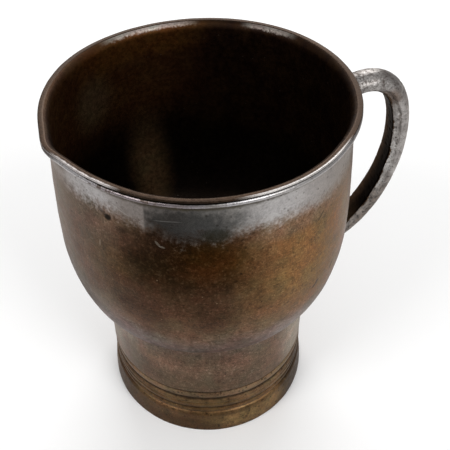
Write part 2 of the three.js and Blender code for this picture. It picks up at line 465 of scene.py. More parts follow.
def handle_point(share, j):
    """A point of the handle's surface, before wear."""
    centre, along = handle_place(share)
    side, out = handle_section(share)[j]
    return Vector((centre.x - along.y * out, side, centre.y + along.x * out))


def inside_wall(place, depth):
    """Whether a place is nearer to the axis than the wall's skin less a depth."""
    return math.hypot(place.x, place.y) < wall_radius(place.z) - depth


def meet_wall(j, low, high, depth):
    """Share of the handle's length at which surface line j passes the wall's skin."""
    starts_inside = inside_wall(handle_point(low, j), depth)
    for _ in range(HALVINGS):
        middle = (low + high) / 2
        if inside_wall(handle_point(middle, j), depth) == starts_inside:
            low = middle
        else:
            high = middle
    return (low + high) / 2


# Cast pits: size, the level of the noise above which they are, depth, and seed
HANDLE_PITS = ((1.5, 0.36, 0.16, 3.0), (0.8, 0.38, 0.1, 8.0))
PIT_SLOPE = 0.18


def pits(place, size, level, depth, seed):
    """Depth of cast pits: round hollows where a noise passes a level."""
    value = noise.noise(place / size + Vector((seed, seed * 2, -seed)))
    return depth * min(max((value - level) / PIT_SLOPE, 0), 1)


def handle_wear(place):
    """Unevenness of the cast skin."""
    return uneven(place, HANDLE_LAYERS) - sum(pits(place, *row) for row in HANDLE_PITS)


def handle_zone(j, place):
    """0 on the rounded back, 1 on the inner face, painted dark as shade, 2 on the flanks, painted
    lighter, 3 on the brown fringe.
    """
    away = max(FACE_LINES[0] - j, j - FACE_LINES[1])
    ragged = 0.6 * noise.noise(place / 1.3) + noise.noise(place / 5 + Vector((3, 3, 3)))
    if away <= 0 or ragged > 0.28 * away - 0.05:
        return 1
    if ragged > 0.28 * away - 0.5 - 0.02 * max(place.z - 102, 0):
        return 3
    return 2 if FLANK_LINES[0] <= j < FLANK_LINES[1] else 0


# Shares of the handle's length between which its ends pass the wall's skin, and how deep they go
UPPER_END = (0.0, 0.18)
LOWER_END = (1.0, 0.8)
END_DEPTH = 0.5
STATIONS = 420
starts = [meet_wall(j, *UPPER_END, END_DEPTH) for j in range(SECTION_COUNT)]
ends = [meet_wall(j, *LOWER_END, END_DEPTH) for j in range(SECTION_COUNT)]


def handle_away(share, section_share, j):
    """Outward direction of surface line j where the handle's line runs as at share."""
    along = handle_place(share)[1]
    side, out = handle_section(section_share)[j]
    return Vector((-along.y * out, side, along.x * out)).normalized()


def cast_handle():
    """The worn handle, from wall to wall."""
    vertices, faces, zones = [], [], []
    for i in range(STATIONS + 1):
        share = i / STATIONS
        # the wear fades out at both ends, which meet the wall
        calm = min(1.0, share * 30, (1 - share) * 30)
        for j in range(SECTION_COUNT):
            here = starts[j] + (ends[j] - starts[j]) * share
            place = handle_point(here, j)
            vertices.append(place + handle_away(here, here, j) * handle_wear(place) * calm)
    for i in range(STATIONS):
        for j in range(SECTION_COUNT):
            here, beside = i * SECTION_COUNT + j, i * SECTION_COUNT + (j + 1) % SECTION_COUNT
            faces.append((here, here + SECTION_COUNT, beside + SECTION_COUNT, beside))
            zones.append(handle_zone(j, vertices[here]))
    faces.append(tuple(range(SECTION_COUNT)))
    faces.append(tuple(STATIONS * SECTION_COUNT + j for j in reversed(range(SECTION_COUNT))))
    zones += [1, 1]
    return finish_piece("cast_handle", vertices, faces, "handle", zones,
                        HANDLE_SHARP_DEGREES)


handle = cast_handle()


# Collars: their reach is a share of the handle's length, the rest is in millimetres
COLLAR_STEPS = 8
COLLAR_REACH = 0.012
COLLAR_SPREAD = 1.5
COLLAR_WAVE = 0.35
COLLAR_EDGE = 0.04


def collar(name, node, shares, search, reach):
    """A hollow-faced ring of solder between the handle's end and the wall."""
    ring = [handle_point(shares[j], j) for j in range(SECTION_COUNT)]
    middle = sum(ring, Vector()) / SECTION_COUNT
    vertices, faces = [], []
    for j in range(SECTION_COUNT):
        contact = handle_point(meet_wall(j, *search, 0.0), j)
        wave = 1 + COLLAR_WAVE * noise.noise(contact / 3)
        up = handle_point(shares[j] + reach * wave, j)
        away = handle_away(shares[j] + reach, shares[j], j)
        spread = contact + (contact - middle).normalized() * COLLAR_SPREAD * wave
        angle = math.atan2(spread.y, spread.x)
        skin = wall_radius(spread.z) + wall_wear(angle, spread.z)
        foot_point = around(angle, skin + COLLAR_EDGE, spread.z)
        corner = contact + away * 0.25
        top = up + away * 0.12
        for k in range(COLLAR_STEPS + 1):
            t = k / COLLAR_STEPS
            vertices.append(top * (1 - t) ** 2 + corner * 2 * t * (1 - t) + foot_point * t * t)
        deep = around(math.atan2(contact.y, contact.x), wall_radius(contact.z) - 0.4, contact.z)
        vertices.append(deep - away * 0.3)
        vertices.append(up - away * 0.4)
    rows = COLLAR_STEPS + 3
    for j in range(SECTION_COUNT):
        here, beside = j * rows, (j + 1) % SECTION_COUNT * rows
        for k in range(rows):
            up = (k + 1) % rows
            faces.append((here + k, beside + k, beside + up, here + up))
    return finish_piece(name, vertices, faces, node, sharp=SOLDER_SHARP_DEGREES)


upper_collar = collar("upper_solder_collar", "upper_handle_solder", starts, UPPER_END,
                      COLLAR_REACH)
lower_collar = collar("lower_solder_collar", "lower_handle_solder", ends, LOWER_END,
                      -COLLAR_REACH)


# Materials

def colour(code):
    """Linear colour from a code such as 8a7f70."""
    parts = [int(code[i:i + 2], 16) / 255 for i in (0, 2, 4)]
    return (*[c / 12.92 if c <= 0.04045 else ((c + 0.055) / 1.055) ** 2.4 for c in parts], 1.0)


# Tints at grazing angles, where oxidised metal stays dull and brownish
EDGE_TINT = (0.8, 0.76, 0.73, 1)
BELT_EDGE = (0.55, 0.52, 0.5, 1)
DIM_EDGE = (0.75, 0.55, 0.25, 1)
# What the brown brass is multiplied by: below the widest part, above it, in the dusky front, and
# on its worn grains
BELT_GLASS = (1.2, 1.25, 1.35, 1)
BELLY_GLASS = (0.86, 0.84, 0.82, 1)
DIM_GLASS = (0.98, 0.9, 0.62, 1)
WORN_GLASS = (1.8, 2.05, 2.6, 1)
DARKEST_SHADE = 0.15
STROKE_DEPTH = 6.0


class Maker:
    """Builds one node material. Its places are in millimetres from the mug's axis."""

    def __init__(self, name):
        self.material = bpy.data.materials.new(name)
        self.material.use_nodes = True
        self.tree = self.material.node_tree
        self.tree.nodes.clear()
        coords = self.node("ShaderNodeTexCoord").outputs["Object"]
        centred = self.vector("SUBTRACT", coords, (AXIS_X, 0, 0))
        self.place = self.node("ShaderNodeVectorMath", {0: centred, "Scale": 1 / MM},
                               operation="SCALE").outputs[0]
        split = self.node("ShaderNodeSeparateXYZ", {0: self.place})
        self.x, self.y, self.z = split.outputs
        self.radius = self.math("SQRT", self.math("ADD", self.math("MULTIPLY", self.x, self.x),
                                                  self.math("MULTIPLY", self.y, self.y)))

    def node(self, kind, inputs=(), **settings):
        """A node whose inputs are linked to sockets or set to values."""
        made = self.tree.nodes.new(kind)
        for key, value in settings.items():
            setattr(made, key, value)
        for key, value in dict(inputs).items():
            if isinstance(value, bpy.types.NodeSocket):
                self.tree.links.new(value, made.inputs[key])
            else:
                made.inputs[key].default_value = value
        return made

    def math(self, operation, a, b=0.0, clamp=False):
        return self.node("ShaderNodeMath", {0: a, 1: b}, operation=operation,
                         use_clamp=clamp).outputs[0]

    def vector(self, operation, a, b, result=0):
        """A vector operation; its result is an output's name or number."""
        return self.node("ShaderNodeVectorMath", {0: a, 1: b}, operation=operation).outputs[result]

    def total(self, *parts):
        """Sum of sockets, each given alone or as (socket, weight)."""
        result = 0.0
        for part in parts:
            socket, weight = part if isinstance(part, tuple) else (part, 1.0)
            result = self.node("ShaderNodeMath", {0: socket, 1: weight, 2: result},
                               operation="MULTIPLY_ADD").outputs[0]
        return result

    def moved(self, seed, scale):
        """The place, scaled and shifted so that each seed gives another pattern."""
        return self.node("ShaderNodeMapping", {"Vector": self.place, "Location": (seed, seed, seed),
                                               "Scale": scale}).outputs[0]

    def noise(self, size, detail, rough, seed=0.0, stretch=(1, 1, 1)):
        """Noise from 0 to 1 whose lumps are about size millimetres."""
        moved = self.moved(seed, tuple(s / size for s in stretch))
        return self.node("ShaderNodeTexNoise", {"Vector": moved, "Scale": 1.0, "Detail": detail,
                                                "Roughness": rough}).outputs[0]

    def noises(self, *rows):
        """Several noises, each from its size, detail, roughness and seed."""
        return [self.noise(*row) for row in rows]

    def span(self, value, low, high, to_low=0.0, to_high=1.0):
        """Smooth step of a value."""
        return self.node("ShaderNodeMapRange", {"Value": value, "From Min": low, "From Max": high,
                                                "To Min": to_low, "To Max": to_high},
                         interpolation_type="SMOOTHSTEP").outputs[0]

    def mix(self, factor, a, b, blend="MIX"):
        """Mix of two colours, given as sockets, values or codes."""
        a, b = (colour(each) if isinstance(each, str) else each for each in (a, b))
        return self.node("ShaderNodeMix", {0: factor, 6: a, 7: b}, data_type="RGBA",
                         blend_type=blend).outputs[2]

    def lay(self, base, mask, share, code):
        """Lays a colour over the base where the mask is 1."""
        return self.mix(self.math("MULTIPLY", mask, share), base, code)

    def lay_rows(self, base, mask, rows):
        """Lays colours in turn; a row is the mask's measures, then the share and the colour."""
        for *measures, share, code in rows:
            base = self.lay(base, mask(*measures), share, code)
        return base

    def stain(self, base, mask, glass):
        """Multiplies the base by a colour where the mask is 1."""
        return self.mix(mask, base, self.mix(1.0, base, glass, "MULTIPLY"))

    def blend(self, value, low, high, first, second):
        """Goes from the first colour to the second as a value goes from low to high."""
        return self.mix(self.span(value, low, high), first, second)

    def both(self, a, b):
        """Product of two masks."""
        return self.math("MULTIPLY", a, b)

    def shade(self, base, *parts):
        """Lightens and darkens the base by noises, each given with its depth."""
        factor = self.total(*parts)
        depth = sum(part[1] for part in parts)
        factor = self.math("ADD", factor, 1 - depth / 2)
        return self.mix(1.0, base, self.math("MAXIMUM", factor, DARKEST_SHADE), "MULTIPLY")

    def tint(self, base, value, depth):
        """Turns the hue of the base between red brown and olive."""
        red = (1 + 0.5 * depth, 1 - 0.2 * depth, 1 - 0.3 * depth, 1)
        olive = (1 - 0.4 * depth, 1 + 0.14 * depth, 1 - 0.1 * depth, 1)
        return self.mix(1.0, base, self.mix(self.span(value, 0.33, 0.67), red, olive), "MULTIPLY")

    def patch(self, turn, height, wide, tall, soft, ragged, grain):
        """1 inside a ragged patch of the wall, 0 outside; turn is degrees from the handle."""
        radius = wall_radius(min(max(height, FOOT_HEIGHT + 1), WALL_TOP))
        away = self.vector("SUBTRACT", self.place, around(math.radians(turn), radius, height))
        scaled = self.vector("MULTIPLY", away, (1 / wide, 1 / wide, 1 / tall))
        distance = self.vector("DISTANCE", scaled, (0, 0, 0), "Value")
        moved = self.total(distance, (grain, ragged * 2))
        return self.span(moved, 1 + ragged + soft / 2, 1 + ragged - soft / 2)

    def stroke(self, turn, height, long, thin, slant, grain):
        """1 on a short mark of the wall that climbs at slant degrees to the right."""
        radius = wall_radius(height)
        a, s = math.radians(turn), math.radians(slant)
        outward = around(a, 1, 0)
        side = Vector((-math.sin(a), math.cos(a), 0))
        lengthwise = side * math.cos(s) + Vector((0, 0, math.sin(s)))
        crosswise = Vector((0, 0, math.cos(s))) - side * math.sin(s)
        away = self.vector("SUBTRACT", self.place, outward * radius + Vector((0, 0, height)))
        parts = []
        for axis, size in ((lengthwise, long), (crosswise, thin), (outward, STROKE_DEPTH)):
            along = self.vector("DOT_PRODUCT", away, axis / size, "Value")
            parts.append(self.math("MULTIPLY", along, along))
        return self.span(self.total(*parts, grain), 1.8, 1.1)

    def toward(self, turn):
        """Cosine of the angle between a place's direction from the axis and another one."""
        a = math.radians(turn)
        along = self.total((self.x, math.cos(a)), (self.y, math.sin(a)))
        return self.math("DIVIDE", along, self.radius)

    def arc(self, turn, half, soft):
        """1 within half degrees of a direction from the axis, fading over soft degrees."""
        outer, inner = math.radians(half + soft), math.radians(max(half - soft, 0))
        return self.span(self.toward(turn), math.cos(outer), math.cos(inner))

    def lip_radius(self):
        """Distance from the axis that a place at the lip had before the lip was bent."""
        result = self.radius
        for turn, spread, depth in LIP_PULLS:
            power = 2 / math.radians(spread) ** 2
            fall = self.math("MULTIPLY", self.math("SUBTRACT", self.toward(turn), 1.0), power)
            swell = self.math("EXPONENT", fall)
            result = self.total((swell, -depth), result)
        return result

    def beside(self, turn):
        """Millimetres to the right of the upright plane at a direction from the axis."""
        a = math.radians(turn)
        return self.total((self.x, -math.sin(a)), (self.y, math.cos(a)))

    def specks(self, size, share, reach, seed):
        """Sparse dots: one in each cell of the given size, for a share of the cells."""
        moved = self.moved(seed, (1 / size, 1 / size, 1 / size))
        cells = self.node("ShaderNodeTexVoronoi", {"Vector": moved, "Scale": 1.0}, feature="F1")
        chance = self.node("ShaderNodeSeparateXYZ", {0: cells.outputs["Color"]}).outputs[0]
        dot = self.span(cells.outputs["Distance"], reach, reach * 0.55)
        return self.math("MULTIPLY", dot, self.math("LESS_THAN", chance, share))

    def finish(self, base, roughness, metallic, bump=None, strength=0.0, distance=0.0,
               edge=EDGE_TINT):
        """Ends the material; the bump's height counts in units of distance, in millimetres."""
        shader = self.node("ShaderNodeBsdfPrincipled", {
            "Base Color": base, "Roughness": roughness, "Metallic": metallic,
            "Specular Tint": edge})
        if bump is not None:
            made = self.node("ShaderNodeBump", {"Height": bump, "Strength": strength,
                                                "Distance": distance * MM})
            self.tree.links.new(made.outputs[0], shader.inputs["Normal"])
        output = self.node("ShaderNodeOutputMaterial")
        self.tree.links.new(shader.outputs[0], output.inputs[0])
        return self.material


def outer_material():
    m = Maker("worn_tin_over_brass")
    large, medium, other, small, fine, grain = m.noises(
        (24, 3, 0.5, 5), (9, 4, 0.6, 1), (7, 4, 0.6, 21), (2.6, 4, 0.65, 7), (1.0, 3, 0.65, 9),
        (0.5, 2, 0.6, 13))
    lines = m.noise(0.8, 3, 0.6, stretch=(0.06, 0.06, 1), seed=2)
    streak = m.noise(1.4, 3, 0.6, stretch=(1, 1, 0.14), seed=3)

    # brown brass, greyer towards the waist, which kept more of its tin
    drift = m.total(m.z, (medium, 10), (large, 8))
    base = m.blend(drift, 68, 88, "65564d", "66503c")
    base = m.lay(base, m.span(drift, 62, 50), 0.8, "5f4c3c")
    # the light patches at the flanks are painted reflections of the bright floor and lamps; the
    # dark ones at 191 and 323 degrees are painted shade that tones down the flanks' sheen
    base = m.lay_rows(base, m.patch, (
        (197, 92, 26, 50, 1.2, 0.3, medium, 0.7, "685b53"),
        (212, 60, 20, 14, 1.2, 0.3, medium, 0.7, "6b625f"),
        (300, 61, 17, 11, 1.2, 0.3, medium, 0.8, "857973"),
        (328, 90, 16, 26, 1.2, 0.3, medium, 0.8, "867873"),
        (319, 38, 11, 14, 1.1, 0.3, medium, 0.75, "9f8f83"),
        (193, 40, 12, 13, 1.2, 0.3, medium, 0.8, "867a71"),
        (250, 40, 30, 5, 1.2, 0.5, medium, 0.5, "6f5b4b"),
        (191, 72, 11, 15, 1.0, 0.5, medium, 0.85, "30261e"),
        (323, 73, 9, 11, 1.0, 0.5, medium, 0.7, "4a3e34"),
    ))
    # rubbed yellow on the right; dusky in front, where dark patina is deepened by painted shade
    gold = m.mix(other, "785832", "826446")
    base = m.lay_rows(base, m.patch, (
        (293, 98, 28, 21, 1.1, 0.4, medium, 0.85, gold),
        (289, 98, 13, 11, 1.2, 0.5, other, 0.4, "876033"),
        (292, 115, 20, 5, 1.0, 0.4, medium, 0.55, "816c5b"),
    ))
    dusk_patina_and_shade = m.mix(other, "352016", "3b2618")
    base = m.lay_rows(base, m.patch, (
        (245, 98, 27, 23, 0.9, 0.4, medium, 0.85, dusk_patina_and_shade),
        (248, 105, 17, 13, 1.0, 0.5, medium, 0.8, "221409"),
        (261, 108, 9, 6, 1.0, 0.4, medium, 0.7, "432c15"),
        (256, 106, 5, 4, 1.4, 0.8, other, 0.2, "4e290a"),
        (219, 97, 8, 9, 1.2, 0.7, other, 0.3, "604825"),
        (245, 81, 7, 8, 1.2, 0.8, small, 0.25, "6c5843"),
        (232, 86, 9, 12, 1.2, 0.6, other, 0.4, "3b2216"),
        (247, 107, 15, 12, 1.0, 0.4, small, 0.6, "170c05"),
        (209, 100, 9, 22, 1.2, 0.4, medium, 0.4, "45362a"),
        (271, 99, 5, 12, 1.2, 0.6, other, 0.25, "6f5330"),
        (236, 90, 24, 6, 1.2, 0.4, medium, 0.35, "46332a"),
        (257, 101, 8, 5, 1.2, 0.6, other, 0.3, "4c3223"),
        (208, 32, 8, 8, 1.2, 0.4, medium, 0.45, "40332a"),
        (248, 46, 17, 5, 1.2, 0.4, medium, 0.35, "44352a"),
        (244, 27, 14, 5, 1.2, 0.4, medium, 0.25, "43331f"),
    ))
    belt = m.both(m.span(m.z, 78, 72), m.span(m.z, 50, 54))
    base = m.stain(base, belt, BELT_GLASS)
    base = m.stain(base, m.span(m.z, 73, 80), BELLY_GLASS)
    mottle = m.both(m.patch(248, 98, 28, 22, 1.0, 0.4, medium),
                    m.span(m.total((fine, 0.6), (small, 0.4)), 0.5, 0.62))
    base = m.lay(base, mottle, 0.2, "493b2e")
    dim = m.total((m.patch(248, 102, 17, 15, 1.2, 0.3, medium), 0.42),
                  (m.patch(256, 107, 10, 8, 1.2, 0.3, medium), 0.45))
    base = m.stain(base, dim, DIM_GLASS)
    base = m.tint(base, m.noise(12, 3, 0.55, seed=29), 0.12)
    base = m.tint(base, other, 0.12)
    base = m.shade(base, (medium, 0.7), (small, 1.3), (fine, 1.3), (grain, 1.3), (lines, 0.5),
                   (streak, 0.5))
    pale = m.mix(1.0, base, WORN_GLASS, "MULTIPLY")
    base = m.lay(base, m.span(m.total((fine, 0.6), (grain, 0.4)), 0.52, 0.66), 0.35, pale)

    # tin left under the lip, in a ragged band
    rag = m.total((large, 7), (medium, 8), (small, 6), (fine, 7))
    reach = m.total(m.z, rag, (m.arc(285, 30, 22), 3.0), (m.arc(208, 26, 18), -1.5),
                    (m.arc(238, 11, 5), 2.6))
    tin = m.span(reach, 129.5, 136.5)
    tin_colour = m.mix(m.arc(205, 34, 20), "8e8a86", "7c7571")
    # the two light patches are lighter tin with painted highlights of the two lamps on it
    tin_colour = m.lay_rows(tin_colour, m.patch, (
        (287, 121.5, 15, 6, 1.1, 0.4, medium, 0.7, "acaaaa"),
        (212, 122, 10, 5, 1.1, 0.4, medium, 0.8, "a5a3a3"),
    ))
    tin_colour = m.lay(tin_colour, m.arc(308, 16, 8), 0.5, "79726d")
    tin_colour = m.lay(tin_colour, m.patch(232, 121, 6, 6, 1.2, 0.4, medium), 0.5, "5e5855")
    # darker tin in front: tarnish with a painted dark reflection over it
    tarnish_and_dark_reflection = m.patch(250, 119.5, 16, 8, 1.1, 0.4, small)
    tarnish_and_dark_reflection = m.both(tarnish_and_dark_reflection, m.span(m.total(m.beside(235), (fine, 1.0)), 0.2, 1.0))
    tin_colour = m.lay(tin_colour, tarnish_and_dark_reflection, 0.94, m.blend(m.beside(250), -6, 6, "171919", "2d2f2f"))
    tin_colour = m.shade(tin_colour, (medium, 0.5), (small, 0.6), (fine, 0.6), (grain, 0.6),
                         (lines, 0.3))
    base = m.lay(base, tin, 0.95, tin_colour)
    base = m.lay_rows(base, m.patch, (
        (259, 116.3, 4.2, 2.2, 0.8, 0.5, fine, 0.7, "1e1e17"),
        (190, 126, 8, 3.5, 0.8, 0.6, small, 0.75, "40342b"),
    ))
    # painted shade: a dark band on the wall just under the bead, across the front
    under_bead_shade = m.both(m.span(m.total(m.z, (small, 1.6), (fine, 0.8)), 125.9, 126.9),
                  m.arc(256, 40, 20))
    base = m.lay(base, under_bead_shade, 0.75, "2a2312")

    # speckle and marks
    base = m.lay_rows(base, m.specks, (
        (1.3, 0.14, 0.36, 3, 0.45, "150d07"),
        (2.0, 0.08, 0.15, 17, 0.25, "b1997d"),
    ))
    base = m.lay(base, m.patch(221, 117, 1.25, 0.95, 0.7, 0.3, fine), 0.95, "0a0604")
    base = m.lay_rows(base, m.stroke, (
        (218.6, 118.3, 2.2, 0.6, -35, fine, 0.5, "241d17"),
        (239.4, 112.6, 1.2, 0.4, -55, fine, 0.2, "989183"),
        (240.9, 111.6, 0.9, 0.35, -12, fine, 0.22, "989183"),
        (299.5, 110, 2.6, 0.3, 42, fine, 0.7, "24180d"),
        (299.5, 81, 2.2, 0.55, 45, fine, 0.9, "120b07"),
        (216.3, 105.5, 1.5, 0.3, 82, fine, 0.3, "9c8c7a"),
        (217.8, 105.3, 1.3, 0.3, 100, fine, 0.45, "2a1e16"),
        (310, 82.5, 2.0, 0.5, 60, fine, 0.8, "1c140f"),
        (243, 121, 4.0, 0.16, 3, fine, 0.2, "8a8985"),
        (226, 121.4, 3.4, 0.2, -22, fine, 0.2, "b1aca6"),
    ))
    rough = m.total((m.span(small, 0.3, 0.7), 0.1), (m.span(fine, 0.4, 0.7), 0.08), (tin, -0.06))
    rough = m.math("ADD", rough, 0.34)
    height = m.total((grain, 0.5), (m.noise(2.2, 3, 0.55, seed=11), 0.5), (lines, 0.3))
    edge = m.mix(belt, EDGE_TINT, BELT_EDGE)
    edge = m.mix(dim, edge, DIM_EDGE)
    return m.finish(base, rough, 0.95, height, 0.4, 0.25, edge)


def lip_material():
    m = Maker("worn_lip")
    small, fine = m.noises((2.0, 4, 0.6, 6), (0.6, 3, 0.6, 16))
    base = m.blend(small, 0.35, 0.65, "281c13", "3a2c22")
    out = m.total(m.lip_radius(), (small, 0.3), (fine, 0.2))
    # a thin painted highlight along the lip's rounded inner edge
    base = m.lay(base, m.span(out, LIP_RADIUS - 1.0, LIP_RADIUS - 1.3), 0.3, "54453a")
    crown = m.span(out, LIP_RADIUS - 0.5, LIP_RADIUS - 0.1)
    # painted shade on the lip's outer edge at the front
    base = m.lay(base, m.both(crown, m.arc(241, 16, 10)), 0.7, "1a1209")
    base = m.lay(base, m.math("MAXIMUM", m.arc(345, 25, 15), m.arc(90, 60, 20)), 0.5, "1d130c")
    # painted highlights of the lamps on the worn outer edge: at the left, at the tip of the
    # pulled-out lip and at the right
    left_highlight = m.both(m.span(m.total(out, (small, 0.5)), LIP_RADIUS - 0.35, LIP_RADIUS + 0.15),
                  m.arc(212, 12, 5))
    base = m.lay(base, left_highlight, 0.9, "b6b0ae")
    tip_highlight = m.both(m.span(m.total(out, (fine, 0.6)), LIP_RADIUS + 0.3, LIP_RADIUS + 0.5),
                 m.arc(193, 9, 5))
    base = m.lay(base, tip_highlight, 0.7, "a8a2a0")
    base = m.lay(base, m.both(crown, m.arc(291, 20, 7)), 0.9, "c2bebb")
    # painted shade on the lip's outer face and underside, over the gap above the bead
    lip_underside_shade = m.math("SUBTRACT", m.span(m.z, MUG_HEIGHT - 0.25, MUG_HEIGHT - 0.45),
                      m.arc(205, 17, 6), clamp=True)
    base = m.lay(base, lip_underside_shade, 0.85, "130e0a")
    base = m.lay(base, m.span(fine, 0.55, 0.7), 0.5, "1a130f")
    base = m.shade(base, (small, 0.6), (fine, 0.7))
    return m.finish(base, m.span(small, 0.3, 0.7, 0.3, 0.44), 0.92, fine, 0.3, 0.2)


def inner_material():
    m = Maker("dark_inside")
    large, medium, small, fine = m.noises(
        (24, 3, 0.5, 15), (7, 4, 0.6, 17), (1.6, 3, 0.6, 19), (0.7, 3, 0.6, 20))
    # dark oxide, darkened further as painted shade inside the mug
    base = m.blend(medium, 0.35, 0.65, "1a0c04", "261507")
    # painted light on the far inside wall: a band at the upper left and a glow under the lip at the
    # back
    lit = m.both(m.arc(128, 38, 26), m.span(m.total(m.z, (large, 12)), 92, 112))
    base = m.lay(base, lit, 0.85, m.mix(medium, "3d230c", "5d3c20"))
    lit_under_lip = m.both(m.arc(105, 24, 14), m.span(m.total(m.z, (medium, 8)), 121, 127))
    base = m.lay(base, lit_under_lip, 0.45, "6b4218")
    shelf = m.span(m.total(m.z, (small, 1.5), (medium, 1.5)), 128.5, 131.0)
    shelf = m.both(shelf, m.span(m.arc(15, 75, 25), 1, 0))
    base = m.lay(base, shelf, 0.55, "34251b")
    # painted highlights of the lamps on the inner slope under the lip, at the back
    slope_highlight = m.span(m.total(m.z, (small, 1.4), (fine, 1.4)), 129.8, 130.9)
    highlight_places = m.math("MAXIMUM", m.arc(97, 12, 12), m.both(m.arc(43, 5, 9), 0.6))
    base = m.lay(base, m.both(slope_highlight, highlight_places), 0.85, "b3aca6")
    # painted shade: nearly black deep inside the mug
    base = m.lay(base, m.span(m.total(m.z, (medium, 8)), 96, 84), 0.8, "0b0603")
    # two dull, lighter clouds on the far inside wall; the lower one is painted light where the
    # bulging wall faces up
    base = m.lay_rows(base, m.patch, (
        (129, 109, 8, 9, 1.4, 0.3, medium, 0.4, "7a6a50"),
        (102, 69, 6.5, 17, 1.9, 0.3, medium, 0.85, "765c3f"),
    ))
    base = m.tint(base, medium, 0.15)
    base = m.shade(base, (medium, 0.7), (small, 0.8), (fine, 0.8))
    base = m.lay(base, m.specks(1.6, 0.04, 0.2, 5), 0.15, "8a7f74")
    return m.finish(base, m.span(small, 0.3, 0.7, 0.42, 0.56), 0.85, small, 0.35, 0.25)


def bead_material():
    m = Maker("worn_bead")
    medium, small, fine = m.noises((5, 4, 0.6, 23), (1.6, 4, 0.6, 26), (0.6, 3, 0.6, 27))
    level = m.math("ABSOLUTE", m.math("SUBTRACT", m.z, BEAD_MIDDLE))
    crest = m.span(m.total(level, (small, 0.3), (m.arc(241, 24, 12), 0.22)), 1.05, 0.85)
    tin = m.blend(medium, 0.35, 0.65, "807b78", "979498")
    # the light arcs at 290 and 208 degrees are painted highlights of the lamps on the worn tin
    tin = m.lay_rows(tin, m.arc, (
        (290, 24, 12, 0.6, "b5b3b2"),
        (208, 12, 6, 0.85, "b8b5b6"),
        (235, 15, 9, 0.8, "72686a"),
        (190, 6, 6, 0.8, "544c46"),
    ))
    tin = m.lay(tin, m.both(m.span(small, 0.48, 0.58), m.arc(226, 16, 8)), 0.7, "473a31")
    tin = m.lay(tin, m.span(small, 0.52, 0.66), 0.5, "4b423c")
    # the bead's top and bottom edges are painted dark, as shade in the gaps above and below it
    base = m.mix(crest, "1a170f", tin)
    base = m.shade(base, (small, 0.7), (fine, 0.7))
    return m.finish(base, m.span(small, 0.3, 0.7, 0.26, 0.4), 0.93, small, 0.3, 0.2)


def foot_material():
    m = Maker("brown_foot")
    medium, other, small, fine, grain = m.noises(
        (7, 4, 0.6, 31), (4, 4, 0.6, 35), (2.0, 4, 0.65, 37), (0.8, 3, 0.65, 39),
        (0.45, 2, 0.6, 33))
    base = m.blend(medium, 0.35, 0.65, "58402b", "6b5339")
    skirt = m.mix(medium, "4c3725", "624b35")
    base = m.lay(base, m.span(m.total(m.z, (small, 1.5)), 11.0, 9.5), 0.9, skirt)
    base = m.lay(base, m.both(m.arc(207, 24, 14), m.span(m.z, 18.5, 17)), 0.35, "33261a")
    base = m.lay(base, m.arc(321, 14, 8), 0.8, "2a2017")
    base = m.lay(base, m.span(m.z, 17.5, 20), 0.6, "7d6955")
    base = m.lay(base, m.both(m.arc(296, 14, 10), m.span(m.z, 12, 14)), 0.4, "7b664c")
    base = m.lay(base, m.arc(192, 12, 8), 0.45, "33261a")
    # the ridge's crest is lighter from wear and a painted highlight; the groove under it is painted
    # shade
    band = m.span(m.z, 10.2, 10.8)
    edge = m.total(m.radius, (small, 0.35))
    ridge_wear_and_highlight = m.both(band, m.span(edge, WAIST_RADIUS + 0.05, WAIST_RADIUS + 0.3))
    base = m.lay(base, ridge_wear_and_highlight, 0.12, "75644c")
    groove_shade = m.both(band, m.span(edge, WAIST_RADIUS, WAIST_RADIUS - 0.45))
    rubbed = m.mix(small, "523c20", "b09262")
    base = m.lay(base, m.patch(281, 5.5, 16, 4, 1.0, 0.6, other), 0.6, rubbed)
    # painted shade over the highlight on the base's crest at the front
    crest = m.both(m.span(m.total(m.z, (small, 1.5)), 8.6, 9.6), m.span(m.z, 10.4, 10.0))
    base = m.lay(base, m.both(m.arc(262, 26, 14), crest), 0.4, "3c2c1c")
    base = m.lay_rows(base, m.patch, (
        (256, 14, 7, 8, 1.0, 0.6, other, 0.25, "62502e"),
        (245, 3.5, 9, 3.5, 1.0, 0.7, other, 0.45, "2e1e0d"),
        (225, 9, 7, 3.5, 1.0, 0.6, other, 0.2, "7d6447"),
        (246, 19, 11, 7, 1.2, 0.4, other, 0.35, "3a2a17"),
    ))
    base = m.lay(base, groove_shade, 0.8, "20170f")
    base = m.tint(base, other, 0.14)
    base = m.shade(base, (medium, 0.6), (small, 1.3), (fine, 1.3), (grain, 1.0))
    base = m.lay_rows(base, m.specks, (
        (1.4, 0.22, 0.42, 7, 0.6, "170f08"),
        (1.8, 0.06, 0.2, 9, 0.25, "b89a6a"),
    ))
    height = m.total((grain, 0.5), (small, 0.6))
    return m.finish(base, m.span(small, 0.3, 0.7, 0.36, 0.52), 0.93, height, 0.45, 0.25)


